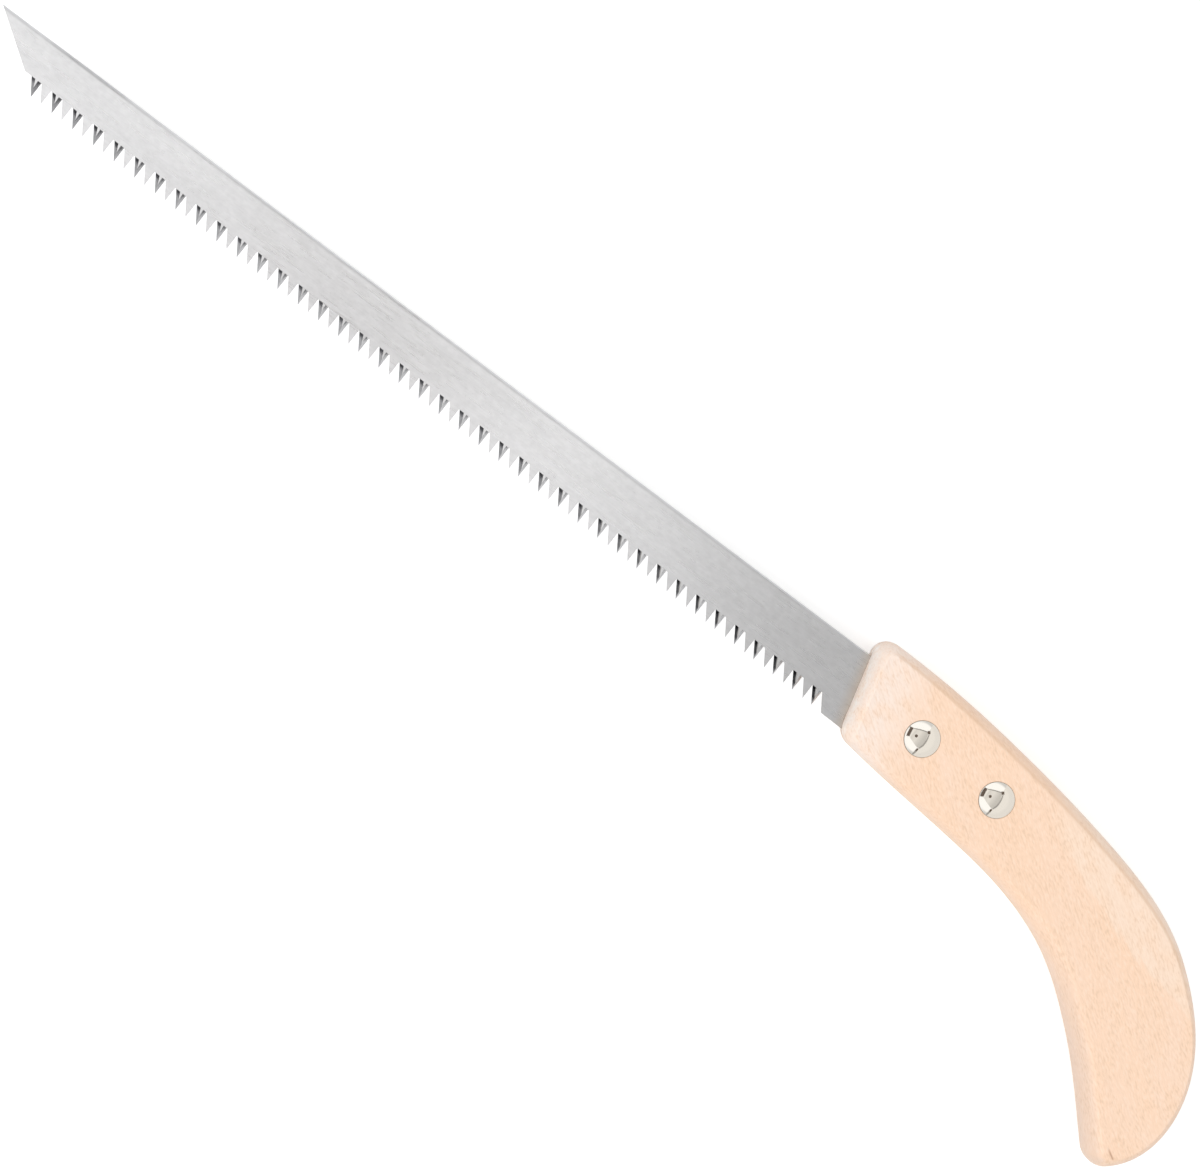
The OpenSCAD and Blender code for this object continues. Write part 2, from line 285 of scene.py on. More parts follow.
def card(name, corners, material, layer=0):
    """A flat level card that only reflections see, where a lower layer hides a higher one."""
    z = CARD_Z + layer * LAYER_GAP
    mesh = bpy.data.meshes.new(name)
    mesh.from_pydata([(*corner, z) for corner in corners], [], [tuple(range(len(corners)))])
    mesh.materials.append(material)
    piece = put(name, mesh)
    for ray in ("camera", "diffuse", "shadow", "transmission", "volume_scatter"):
        setattr(piece, "visible_" + ray, False)


bright = card_material("bright_panel", 1.5, 0.95, "F8FBFF")
pale = card_material("pale_wall", 1.15, 1.08)
seam = card_material("dark_seam", 0.18, 0.18, "FFE8DA")
shade = card_material("soft_seam", 0.48, 0.48)
print("cards hang at z =", CARD_Z, "m")

# %% [markdown]
# The grey opening is not even: it falls from the toe's side to the heel's, and the blade,
# which mirrors it in a blurred way, turns darker towards the handle just as the real one does.

# %% The grey opening
OPENING_LEVEL = 1.22
OPENING_FROM = -0.40
OPENING_TO = 0.42
OPENING_STOPS = [(0.0, 0.95), (0.12, 0.78), (0.24, 0.84), (0.45, 0.88), (0.56, 0.795), (0.67, 0.74),
                 (0.78, 0.67), (1.0, 0.63)]

opening, tree = new_material("grey_opening")
place = add(tree, "ShaderNodeTexCoord").outputs["Object"]
x = add(tree, "ShaderNodeSeparateXYZ", Vector=place).outputs["X"]
share = add(tree, "ShaderNodeMapRange", Value=x, From_Min=OPENING_FROM, From_Max=OPENING_TO).outputs[0]
fall = add(tree, "ShaderNodeValToRGB", stops=[(u, grey(level)) for u, level in OPENING_STOPS],
           _0=share).outputs[0]
glow = add(tree, "ShaderNodeEmission", Color=fall, Strength=OPENING_LEVEL)
add(tree, "ShaderNodeOutputMaterial", Surface=glow.outputs[0])

LENS_PLACE = Vector((-0.11, -0.01))
LENS_R = 0.08
LENS_CORNERS = 24
lens = [tuple(LENS_PLACE + LENS_R * heading(360 * i / LENS_CORNERS)) for i in range(LENS_CORNERS)]

card("card_opening", [(-0.53, 0.26), (-0.42, -0.28), (0.34, -0.50), (0.43, -0.20), (0.41, 0.09),
                      (0.31, 0.55)], opening, 3)
card("card_lens", lens, seam, -3)
card("card_toe_gap", [(-0.70, -0.43), (-0.43, -0.27), (-0.54, 0.28), (-0.85, 0.28)], seam, -1)
card("card_corner", [(0.23, 0.56), (0.39, 0.72), (0.47, 0.53), (0.32, 0.41)], seam, -4)
card("card_low_corner", [(0.37, -0.79), (0.53, -0.83), (0.45, -0.54), (0.33, -0.52)], seam, -4)
card("card_low_seam", [(0.53, -1.55), (0.72, -1.63), (0.53, -0.83), (0.37, -0.79)], shade, -4)
card("card_top_seam", [(-0.54, 0.27), (-0.50, 0.22), (0.29, 0.48), (0.27, 0.55)], shade, -2)
card("card_side_seam", [(0.37, 0.43), (0.43, 0.48), (0.49, 0.09), (0.51, -0.23), (0.46, -0.51),
                        (0.36, -0.47), (0.42, -0.19), (0.41, 0.09)], shade, -2)
card("card_top", [(-2.2, 0.28), (-0.54, 0.28), (0.29, 0.55), (0.32, 0.65), (0.43, 1.17), (0.76, 2.73),
                  (-2.2, 2.73)], bright)
card("card_left", [(-2.2, -3.0), (1.1, -3.0), (0.62, -1.59), (0.34, -0.50), (-0.42, -0.28),
                   (-0.53, 0.28), (-2.2, 0.28)], bright)
card("card_heel_wall", [(1.1, -3.0), (3.5, -3.0), (3.5, 3.0), (0.82, 3.0), (0.43, 1.17), (0.30, 0.55),
                        (0.41, 0.09), (0.43, -0.20), (0.34, -0.50), (0.62, -1.59)], pale, 5)

# %% [markdown]
# The handle
#
# The handle is sawn from a beech board to a curved outline, its edges are rounded with a
# cutter and it is sanded. The outline can be described by a few knots, each with a place and
# a heading, joined by curves that leave and arrive along those headings. The same knots make
# the CAD solid. Here the curves are followed in much finer steps, so light runs smoothly
# round the edges.

# %% Knots of the handle's outline


def knot(place, degrees, rounding):
    """A knot: its place, the outline's heading there, and the edge's rounding."""
    return Vector(place), degrees, rounding


HANDLE_L = 151.3
TAIL_DROP = 78.5
FRONT_SLANT = 13.9
CREST_RISE = 6.9
BROW_R = 4.7
LIP_R = 6.1
CHIN_DROP = 23.4
CHIN_SLOPE = 8.0
SHOULDER_BACK = 26.3
RUMP_BACK = 6.5
TAIL_H = 20.6
FOOT_R = 5.0
FOOT_BACK = 11.9
FOOT_SLOPE = 37
PALM_SLOPE = 47
ROUND_DEPTH = 9.2
FRONT_ROUND = 3.8
BACK_ROUND = 4.7
RUMP_ROUND = 3.4
TAIL_ROUND = 4.3
BELLY_ROUND = 4.6
UNDER_ROUND = 3.6

brow_tangent = BROW_R * math.tan(math.radians((90 + FRONT_SLANT) / 2))
crest_corner = Vector((-CREST_RISE * math.tan(math.radians(FRONT_SLANT)), CREST_RISE))
lip_tangent = LIP_R * math.tan(math.radians((90 - CHIN_SLOPE - FRONT_SLANT) / 2))
lip_corner = Vector((CHIN_DROP * math.tan(math.radians(FRONT_SLANT)), -CHIN_DROP))
foot_centre = Vector((HANDLE_L - FOOT_BACK, FOOT_R - TAIL_DROP))

brow = knot(crest_corner - brow_tangent * heading(90 + FRONT_SLANT), 90 + FRONT_SLANT, FRONT_ROUND)
crest = knot(crest_corner + Vector((brow_tangent, 0)), 0, FRONT_ROUND)
saddle = knot((38.8, 5.2), -6, BACK_ROUND)
back = knot((86.7, -1.9), -11.5, BACK_ROUND)
shoulder = knot((HANDLE_L - SHOULDER_BACK, -16.1), -36, (BACK_ROUND + RUMP_ROUND) / 2)
rump = knot((HANDLE_L - RUMP_BACK, -36.6), -59, RUMP_ROUND)
tail_end = knot((HANDLE_L, TAIL_H - TAIL_DROP), -90, TAIL_ROUND)
foot = knot(foot_centre + FOOT_R * heading(FOOT_SLOPE - 90), FOOT_SLOPE - 180, TAIL_ROUND)
palm = knot(foot_centre - FOOT_R * heading(90 - PALM_SLOPE), -180 - PALM_SLOPE, BELLY_ROUND)
grip = knot((111.1, -52.2), -180 - 40, BELLY_ROUND)
belly = knot((89.2, -37.2), -180 - 25, BELLY_ROUND)
under = knot((59.2, -29.1), -180 - 7, UNDER_ROUND)
chin = knot(lip_corner - lip_tangent * heading(-180 - CHIN_SLOPE), -180 - CHIN_SLOPE, UNDER_ROUND)
lip = knot(lip_corner + lip_tangent * heading(FRONT_SLANT - 270), FRONT_SLANT - 270, FRONT_ROUND)
print("handle outline runs through 14 knots, from", [round(v, 1) for v in brow[0]])

# %% [markdown]
# Between two knots the outline is a Bezier curve whose arms are as long as a circle's would
# be, which keeps the turn even. A point of the outline carries its outward direction too,
# because the rounding moves points inwards along it.

# %% Curves between the knots
NEARLY_STRAIGHT = math.radians(1.0)


def outline_point(a, b, u):
    """Place, outward direction and rounding at share u of the way from knot a to knot b."""
    turn = math.radians(b[1] - a[1])
    share = 1 / 3
    if abs(turn) > NEARLY_STRAIGHT:
        share = (2 / 3) * math.tan(turn / 4) / math.sin(turn / 2)
    arm = (b[0] - a[0]).length * share
    leave = a[0] + arm * heading(a[1])
    arrive = b[0] - arm * heading(b[1])
    v = 1 - u
    place = v ** 3 * a[0] + 3 * u * v * v * leave + 3 * u * u * v * arrive + u ** 3 * b[0]
    tangent = v * v * (leave - a[0]) + 2 * u * v * (arrive - leave) + u * u * (b[0] - arrive)
    tangent.normalize()
    ease = u * u * (3 - 2 * u)
    return place, Vector((-tangent.y, tangent.x)), a[2] + (b[2] - a[2]) * ease


def run(knots, steps):
    """Points along several knots, without the last one."""
    return [outline_point(a, b, i / steps) for a, b in zip(knots, knots[1:]) for i in range(steps)]


STEPS = 24
top_edge = run([brow, crest, saddle, back, shoulder, rump], STEPS) + [outline_point(shoulder, rump, 1)]
tail_edge = run([rump, tail_end, foot, palm], STEPS)[1:]
low_edge = run([palm, grip, belly, under, chin, lip], STEPS) + [outline_point(chin, lip, 1)]
outline = top_edge + tail_edge + low_edge
print("outline points", len(outline))

# %% [markdown]
# The blank is built level by level. Each level is the outline, moved in and up along part of
# an ellipse at both edges, as a cutter and sanding leave it: upright at the middle, and
# meeting the flat side in a soft crease. One more level just inside the crease keeps the flat
# sides shading flat. Along the belly it lies further in, so the crease is softer there. The
# flat sides are strips between the back and the belly, and one wide face at the tail.

# %% The handle's blank
ROUND_STEPS = 14
CREASE = 75.0
FLAT_INSET = 0.2
BELLY_INSET = 1.2
BELLY_FROM = 0.3

crease_height = math.sin(math.radians(CREASE))
arc = [CREASE * (1 - i / ROUND_STEPS) for i in range(ROUND_STEPS + 1)]
upper = [(1, CREASE, FLAT_INSET)] + [(1, angle, 0) for angle in arc]
levels = upper + [(-1, angle, inset) for side, angle, inset in reversed(upper)]

points = []
for side, angle, inset in levels:
    inwards = (1 - math.cos(math.radians(angle))) / crease_height ** 2
    downwards = 1 - math.sin(math.radians(angle)) / crease_height
    for place, outward, rounding in outline:
        belly_share = max(0.0, -outward.y - BELLY_FROM) / (1 - BELLY_FROM)
        further = 1 + (BELLY_INSET / FLAT_INSET - 1) * belly_share
        moved = place - outward * (rounding * inwards + inset * further)
        points.append(at(moved.x, moved.y, side * (SIDE_Z - ROUND_DEPTH * downwards)))

around = len(outline)
back_count = len(top_edge)
last = (len(levels) - 1) * around
faces = []
for start in range(0, last, around):
    for i in range(around):
        j = (i + 1) % around
        faces.append((start + i, start + j, start + around + j, start + around + i))
flat = [(i, around - 1 - i, around - 2 - i, i + 1) for i in range(back_count - 1)]
flat.append((back_count - 1, *range(around - back_count, back_count - 1, -1)))
faces += flat
faces += [tuple(last + i for i in reversed(face)) for face in flat]

mesh = bpy.data.meshes.new("handle_beech")
mesh.from_pydata(points, [], faces)
mesh.shade_smooth()
mesh.update()
handle = put("handle_beech", mesh)
print("blank faces", len(handle.data.polygons))

# %% [markdown]
# A rivet head, a bore and a counterbore are all round, so one lathe function makes them from
# a profile of radius and height. Steps round the axis decide how smooth the silhouette is.

# %% A lathe


def lathe(name, profile, centre, materials=(), turns=96):
    """A closed turned shape: profile runs from the axis to the axis, as (radius, height)."""
    mesh = bpy.data.meshes.new(name)
    work = bmesh.new()
    rings = []
    for radius, height in profile:
        if radius == 0:
            rings.append([work.verts.new(at(centre[0], centre[1], height))])
            continue
        ring = []
        for i in range(turns):
            x, y = radius * heading(360 * i / turns)
            ring.append(work.verts.new(at(centre[0] + x, centre[1] + y, height)))
        rings.append(ring)
    for first, second in zip(rings, rings[1:]):
        for i in range(turns):
            j = (i + 1) % turns
            corners = [first[i % len(first)], first[j % len(first)],
                       second[j % len(second)], second[i % len(second)]]
            unique = list(dict.fromkeys(corners))
            if len(unique) > 2:
                work.faces.new(unique)
    bmesh.ops.recalc_face_normals(work, faces=work.faces)
    work.to_mesh(mesh)
    work.free()
    for material in materials:
        mesh.materials.append(material)
    mesh.shade_smooth()
    return put(name, mesh)


def soften(piece, degrees):
    """Marks edges sharper than an angle, so flat and round surfaces keep their own light."""
    piece.data.set_sharp_from_angle(angle=math.radians(degrees))


print("lathe ready")

# %% [markdown]
# A slitting saw lets the blade in from the front end, which leaves a thin slot with a round
# bottom. Two bores take the rivets' barrels, and shallow counterbores with a broken edge
# take their heads. Boolean cuts do all of this exactly. Each cutter is thrown away after
# its cut.

# %% Cuts in the handle
TANG_L = 74.0
TANG_END_DROP = 14.0
CUT_CLEAR = 0.05
CUT_END_GAP = 6.0
CUT_R = 60.0
CUT_CENTRE = (TANG_L + CUT_END_GAP - CUT_R, -TANG_END_DROP)
FRONT_RIVET = (23.9, -10.4)
REAR_RIVET = (51.5, -11.6)
HEAD_R = 5.2
HEAD_RIM = 1.0
HEAD_CLEAR = 0.06
SEAT_Z = SIDE_Z - HEAD_RIM
SEAT_R = HEAD_R + HEAD_CLEAR
BARREL_R = 2.9
BARREL_CLEAR = 0.08
BORE_R = BARREL_R + BARREL_CLEAR
EDGE_BREAK = 0.1
PAST = 1.0


def plain(piece):
    """Turns a piece with modifiers into a plain mesh."""
    bpy.context.view_layer.update()
    graph = bpy.context.evaluated_depsgraph_get()
    mesh = bpy.data.meshes.new_from_object(piece.evaluated_get(graph))
    old = piece.data
    piece.modifiers.clear()
    piece.data = mesh
    bpy.data.meshes.remove(old)


def cut(piece, cutters):
    """Subtracts cutters from a piece and removes them."""
    for cutter in cutters:
        step = piece.modifiers.new(cutter.name, "BOOLEAN")
        step.operation = "DIFFERENCE"
        step.solver = "EXACT"
        step.object = cutter
    plain(piece)
    for cutter in cutters:
        mesh = cutter.data
        bpy.data.objects.remove(cutter)
        bpy.data.meshes.remove(mesh)


def rod(name, radius, centre, low, high, turns=96):
    """A plain round cutter."""
    return lathe(name, [(0, low), (radius, low), (radius, high), (0, high)], centre, turns=turns)


half_cut = BLADE_T / 2 + CUT_CLEAR
cutters = [rod("cut_slot", CUT_R, CUT_CENTRE, -half_cut, half_cut, turns=192)]
for name, centre in (("front", FRONT_RIVET), ("rear", REAR_RIVET)):
    cutters.append(rod("cut_" + name, BORE_R, centre, -SIDE_Z - PAST, SIDE_Z + PAST))
    for side in (1, -1):
        seat = [
            (0, SEAT_Z),
            (SEAT_R, SEAT_Z),
            (SEAT_R, SIDE_Z - EDGE_BREAK),
            (SEAT_R + EDGE_BREAK + PAST, SIDE_Z + PAST),
            (0, SIDE_Z + PAST),
        ]
        side_name = "top" if side > 0 else "low"
        cutters.append(lathe("cut_" + name + side_name, [(r, z * side) for r, z in seat], centre))
cut(handle, cutters)
soften(handle, 32)
print("handle faces", len(handle.data.polygons))

# %% [markdown]
# The rivets
#
# Each rivet has two halves: a solid stud, and a socket whose barrel closes round the stud's
# shank as they are pressed together. Only the low domes show. The profile gives each head a
# straight rim, a small rolled corner and a dome that is part of a ball, because a true ball
# is what makes the room's reflection look right.

# %% Rivet halves
DOME_RISE = 1.6
DOME_R = (HEAD_R ** 2 + DOME_RISE ** 2) / (2 * DOME_RISE)
DOME_STEPS = 26
ROLL = 0.08
SHANK_R = 1.9
SHANK_LEAD = 0.2
SHANK_CLEAR = 0.05
END_CLEAR = 0.5
FAR_END = -HEAD_RIM - (2 * SEAT_Z - END_CLEAR)


def head_profile():
    """A head from its rim's underside to the top of its dome, with the side face at z = 0."""
    edge = math.asin(HEAD_R / DOME_R)
    dome = []
    for i in range(DOME_STEPS + 1):
        angle = edge * (1 - i / DOME_STEPS)
        dome.append((DOME_R * math.sin(angle), DOME_RISE - DOME_R * (1 - math.cos(angle))))
    dome[-1] = (0, DOME_RISE)
    rim = [(HEAD_R - EDGE_BREAK, -HEAD_RIM), (HEAD_R, EDGE_BREAK - HEAD_RIM)]
    rolled = [(HEAD_R, -ROLL), (HEAD_R - ROLL / 4, 0.0), (HEAD_R - ROLL, ROLL * 3 / 4)]
    return rim + rolled + dome[1:]


def stud_profile():
    """The solid half: shank, then head."""
    shank = [(0, FAR_END), (SHANK_R - SHANK_LEAD, FAR_END), (SHANK_R, FAR_END + SHANK_LEAD),
             (SHANK_R, -HEAD_RIM)]
    return shank + head_profile()


def socket_profile():
    """The hollow half: the inside of the barrel, its rim and its outside, then the head."""
    inside_r = SHANK_R + SHANK_CLEAR
    barrel = [(0, -HEAD_RIM), (inside_r, -HEAD_RIM), (inside_r, FAR_END), (BARREL_R, FAR_END),
              (BARREL_R, -HEAD_RIM)]
    return barrel + head_profile()


print("a rivet's dome is part of a ball of radius", round(DOME_R, 2), "mm")

# %% [markdown]
# The heads are steel with bright nickel plating. Nickel is a warm, slightly yellow metal.
# Polished plating has very low roughness, and a hint of uneven polish keeps the mirror from
# looking computed.

# %% Nickel
NICKEL_RIPPLE_MM = 2.4

nickel, tree = new_material("polished_nickel_plate")
place = add(tree, "ShaderNodeTexCoord").outputs["Object"]
ripple = add(tree, "ShaderNodeTexNoise", Vector=place, Scale=1 / (NICKEL_RIPPLE_MM * MM), Detail=2.0)
rough = add(tree, "ShaderNodeMapRange", Value=ripple.outputs[0], To_Min=0.03, To_Max=0.09).outputs[0]
bump = add(tree, "ShaderNodeBump", Height=ripple.outputs[0], Strength=0.04, Distance=0.02 * MM)
metal = add(tree, "ShaderNodeBsdfPrincipled", Base_Color=linear("DCD5CA"), Metallic=1.0,
            Roughness=rough, Normal=bump.outputs[0])
add(tree, "ShaderNodeOutputMaterial", Surface=metal.outputs[0])

rivets = {}
for name, centre in (("front", FRONT_RIVET), ("rear", REAR_RIVET)):
    stud = [(r, SIDE_Z + z) for r, z in stud_profile()]
    socket = [(r, -SIDE_Z - z) for r, z in socket_profile()]
    rivets[name + "_rivet_stud"] = lathe(name + "_stud_nickel", stud, centre, [nickel])
    rivets[name + "_rivet_socket"] = lathe(name + "_socket_nickel", socket, centre, [nickel])
for piece in rivets.values():
    soften(piece, 30)
print("rivet halves", sorted(rivets))

# %% [markdown]
# The blade
#
# The blade has 79 coarse teeth on a line that falls a little towards the handle, so the blade
# is deeper there. Finishes and shapes both need that line, so its measures come first.

# %% The tooth line
TOOTH_COUNT = 79
PITCH = 3.5
TOOTH_H = 4.8
TOE_DEPTH = 15.8
HEEL_DEPTH = 21.3
HEEL_LAND = 5.1
ROW_L = (TOOTH_COUNT - 1) * PITCH
FALL = math.asin((HEEL_DEPTH - TOE_DEPTH) / ROW_L)
FIRST_TIP = Vector((-HEEL_LAND - ROW_L * math.cos(FALL), -TOE_DEPTH))

row_way = Vector((math.cos(FALL), -math.sin(FALL)))
row_up = Vector((math.sin(FALL), math.cos(FALL)))
print("first tip at", [round(v, 1) for v in FIRST_TIP], "fall", round(math.degrees(FALL), 2), "degrees")

# %% [markdown]
# The blade is spring steel, ground and brushed lengthwise. The brush leaves scratches finer
# than a tenth of a millimetre that run from toe to heel. They spread each reflection sideways,
# which is what an anisotropic shader does, and they show as long faint streaks. Those are
# drawn a little coarser than life, so that they show in a picture of the whole saw. The steel's
# colour is painted darker towards the handle and along the spine, most of all on a short stretch
# near the toe: painted shade for its dimmer reflections there. Beside the handle a warm tint is
# painted on, a painted reflection of the wood.
#
# Three helpers serve the wood too. One measures a place in this lesson's millimetres, one
# draws noise out along a grain, and one lays a colour on where soft ramps overlap.

# %% Brushed spring steel
STREAK_L = 9.0
STREAK_W = 0.45
SMEAR_L = 50.0
SMEAR_W = 4.0
MOTTLE_L = 1.9
MOTTLE_W = 1.2
STREAK_SHARE = 0.6
SMEAR_SHARE = 0.7
HEEL_PAINTED_SHADE_L = 110.0
SPINE_PAINTED_SHADE = (-1.3, -0.6)
SPINE_SHADE_FADE = (10.0, -100.0)
SHADED_STRETCH_TOE_END = (-286.0, -276.0)
SHADED_STRETCH_HEEL_END = (-252.0, -262.0)
WOOD_REFLECTION_L = 4.0


def measured(tree):
    """A place on the surface, in this lesson's millimetres from the spine's entry."""
    place = add(tree, "ShaderNodeTexCoord").outputs["Object"]
    return add(tree, "ShaderNodeVectorMath", {"operation": "MULTIPLY_ADD"}, _0=place,
               _1=(1 / MM, 1 / MM, 1 / MM), _2=-entry).outputs[0]


def drawn_noise(tree, place, length, width, detail):
    """Solid noise drawn out along X, by its real length and width in millimetres."""
    stretched = add(tree, "ShaderNodeMapping", Vector=place, Scale=(1 / length, 1 / width, 1 / width))
    return add(tree, "ShaderNodeTexNoise", Vector=stretched.outputs[0], Scale=1.0, Detail=detail).outputs[0]


def lay(tree, under, code, most, *ramps, blend="MIX"):
    """Lays a colour on by a share at most, where soft ramps (value, start, end) overlap."""
    share = most
    for value, start, end in ramps:
        soft = add(tree, "ShaderNodeMapRange", {"interpolation_type": "SMOOTHSTEP"}, Value=value,
                   From_Min=start, From_Max=end).outputs[0]
        share = add(tree, "ShaderNodeMath", {"operation": "MULTIPLY"}, _0=share, _1=soft).outputs[0]
    return add(tree, "ShaderNodeMix", {"data_type": "RGBA", "blend_type": blend}, _0=share, _6=under,
               _7=linear(code)).outputs[2]


steel, tree = new_material("brushed_spring_steel")
place = measured(tree)
mm = add(tree, "ShaderNodeSeparateXYZ", Vector=place).outputs
to_wood = add(tree, "ShaderNodeVectorMath", {"operation": "DOT_PRODUCT"}, _0=place,
              _1=(*heading(FRONT_SLANT), 0.0)).outputs["Value"]
fine = drawn_noise(tree, place, STREAK_L, STREAK_W, 3.0)
broad = drawn_noise(tree, place, SMEAR_L, SMEAR_W, 2.0)
mottle = drawn_noise(tree, place, MOTTLE_L, MOTTLE_W, 2.0)
mixed = add(tree, "ShaderNodeMath", {"operation": "MULTIPLY_ADD"}, _0=broad, _1=SMEAR_SHARE,
            _2=mottle).outputs[0]
mixed = add(tree, "ShaderNodeMath", {"operation": "MULTIPLY_ADD"}, _0=fine, _1=STREAK_SHARE,
            _2=mixed).outputs[0]
share = add(tree, "ShaderNodeMapRange", Value=mixed, From_Min=0.8, From_Max=1.5).outputs[0]
colour = add(tree, "ShaderNodeValToRGB", stops=[(0.0, linear("DBDADA")), (1.0, linear("E9E8E8"))],
             _0=share).outputs[0]
# Painted shade: the steel is made darker towards the handle.
colour = lay(tree, colour, "DADADA", 1.0, (mm["X"], -HEEL_PAINTED_SHADE_L, 0.0), blend="MULTIPLY")
# Painted shade along the spine, deeper on a short stretch near the toe.
colour = lay(tree, colour, "E6E6E6", 1.0, (mm["Y"], *SPINE_PAINTED_SHADE), (mm["X"], *SPINE_SHADE_FADE),
             blend="MULTIPLY")
colour = lay(tree, colour, "E6E6E6", 1.0, (mm["Y"], *SPINE_PAINTED_SHADE), (mm["X"], *SHADED_STRETCH_TOE_END),
             (mm["X"], *SHADED_STRETCH_HEEL_END), blend="MULTIPLY")
# Painted reflection: a warm tint of the wood on the steel beside the handle.
colour = lay(tree, colour, "FFF6EC", 1.0, (to_wood, -WOOD_REFLECTION_L, 0.0), blend="MULTIPLY")
rough = add(tree, "ShaderNodeMapRange", Value=fine, From_Min=0.3, From_Max=0.7, To_Min=0.26,
            To_Max=0.34).outputs[0]
bump = add(tree, "ShaderNodeBump", Height=fine, Strength=0.12, Distance=0.02 * MM)
grain_way = add(tree, "ShaderNodeTangent", {"direction_type": "RADIAL", "axis": "X"})
metal = add(tree, "ShaderNodeBsdfPrincipled", Base_Color=colour, Metallic=1.0, Roughness=rough,
            Anisotropic=0.55, Normal=bump.outputs[0], Tangent=grain_way.outputs[0])
add(tree, "ShaderNodeOutputMaterial", Surface=metal.outputs[0])
print("steel streaks", STREAK_W, "mm wide")

# %% [markdown]
# The bevels are ground last, and their colour is painted light and shade. The bevels that face
# the toe mirror the next tooth and the dark low edge of the room, so they are painted dark,
# deepest in the gullets and at the handle's end of the row, and lighter towards the tips. At
# the handle's end this painted shade also stops short of the ridge. The bevels that face the
# heel mirror the white paper and are painted brighter. A second finish draws both: the
# surface's own direction tells which is which, and its place in the row tells how dark it is.

# %% Ground steel of the bevels
WHEEL_MARK_L = 3.0
WHEEL_MARK_W = 0.25
TOE_BEVEL_SHADE_TONES = [(0.0, "969698"), (0.28, "B2B2B4"), (0.5, "A8A8AA"), (0.85, "4A4A4C"), (1.0, "38383A")]
HEEL_BEVEL_LIGHT_TONES = [(0.0, "AAAAAC"), (0.28, "DEDEDF"), (0.8, "E8E8E9"), (1.0, "DADEE2")]
GULLET_PAINTED_SHADE = (3.3, 4.5)
TIP_PAINTED_LIGHT = (2.2, 0.4)
RIDGE_PAINTED_LIGHT = (0.1, 0.45)
RIDGE_PAINTED_LIGHT_FROM = (0.55, 0.85)

ground_steel, tree = new_material("wheel_ground_steel")
place = measured(tree)
from_tip = add(tree, "ShaderNodeVectorMath", {"operation": "SUBTRACT"}, _0=place,
               _1=(*FIRST_TIP, 0.0)).outputs[0]
rise = add(tree, "ShaderNodeVectorMath", {"operation": "DOT_PRODUCT"}, _0=from_tip,
           _1=(*row_up, 0.0)).outputs["Value"]
mm = add(tree, "ShaderNodeSeparateXYZ", Vector=from_tip).outputs
in_row = add(tree, "ShaderNodeMapRange", Value=mm["X"], From_Max=ROW_L).outputs[0]
normal = add(tree, "ShaderNodeNewGeometry").outputs["True Normal"]
normal = add(tree, "ShaderNodeSeparateXYZ", Vector=normal).outputs
side = add(tree, "ShaderNodeMath", {"operation": "SIGN"}, _0=normal["Z"]).outputs[0]
height = add(tree, "ShaderNodeMath", {"operation": "MULTIPLY"}, _0=mm["Z"], _1=side).outputs[0]
# Painted shade: toe-facing bevels dark, deepest in the gullets, lighter at the tips and ridge.
toe_bevel_shade = add(tree, "ShaderNodeValToRGB", stops=[(u, linear(code)) for u, code in TOE_BEVEL_SHADE_TONES],
           _0=in_row).outputs[0]
toe_bevel_shade = lay(tree, toe_bevel_shade, "8A8A8C", 1.0, (rise, *GULLET_PAINTED_SHADE), blend="MULTIPLY")
toe_bevel_shade = lay(tree, toe_bevel_shade, "C0C0C2", 0.8, (rise, *TIP_PAINTED_LIGHT))
toe_bevel_shade = lay(tree, toe_bevel_shade, "C0BDBA", 1.0, (in_row, *RIDGE_PAINTED_LIGHT_FROM), (height, *RIDGE_PAINTED_LIGHT))
# Painted light: heel-facing bevels brighter.
heel_bevel_light = add(tree, "ShaderNodeValToRGB", stops=[(u, linear(code)) for u, code in HEEL_BEVEL_LIGHT_TONES],
            _0=in_row).outputs[0]
heel_side = add(tree, "ShaderNodeMapRange", Value=normal["X"], From_Min=-0.1, From_Max=0.1).outputs[0]
colour = add(tree, "ShaderNodeMix", {"data_type": "RGBA"}, _0=heel_side, _6=toe_bevel_shade, _7=heel_bevel_light).outputs[2]
marks = add(tree, "ShaderNodeMapping", Vector=place,
            Scale=(1 / WHEEL_MARK_W, 1 / WHEEL_MARK_L, 1 / WHEEL_MARK_W))
marks = add(tree, "ShaderNodeTexNoise", Vector=marks.outputs[0], Scale=1.0, Detail=2.0).outputs[0]
rough = add(tree, "ShaderNodeMapRange", Value=marks, To_Min=0.2, To_Max=0.34).outputs[0]
metal = add(tree, "ShaderNodeBsdfPrincipled", Base_Color=colour, Metallic=1.0, Roughness=rough)
add(tree, "ShaderNodeOutputMaterial", Surface=metal.outputs[0])
print("ground steel, film tones", TOE_BEVEL_SHADE_TONES)

# %% [markdown]
# Each tooth is a spike with two bevels ground on one face, and its tip is bent a little
# towards the other. Every second tooth is turned over, so from above one tooth shows its
# bevels, with their painted light and shade, and the next its plain face. A tooth is short work
# in code: one cell holds a tooth and the strip of blade above it, and the cell's borders lie in
# the middle of the gullets, so that cells join edge to edge into one surface.

# %% One tooth's cell
GULLET_FLAT = 0.25
TOE_BEVEL = 1.4
HEEL_BEVEL = 0.95
BEVEL_RISE = 2.2
BEVEL_MEET = 0.45
TOOTH_SET = 0.25
STRIP = 0.6
CELL_LEFT = GULLET_FLAT / 2 - PITCH
CELL_RIGHT = GULLET_FLAT / 2
HALF_T = BLADE_T / 2
TOOTH_W = PITCH - GULLET_FLAT


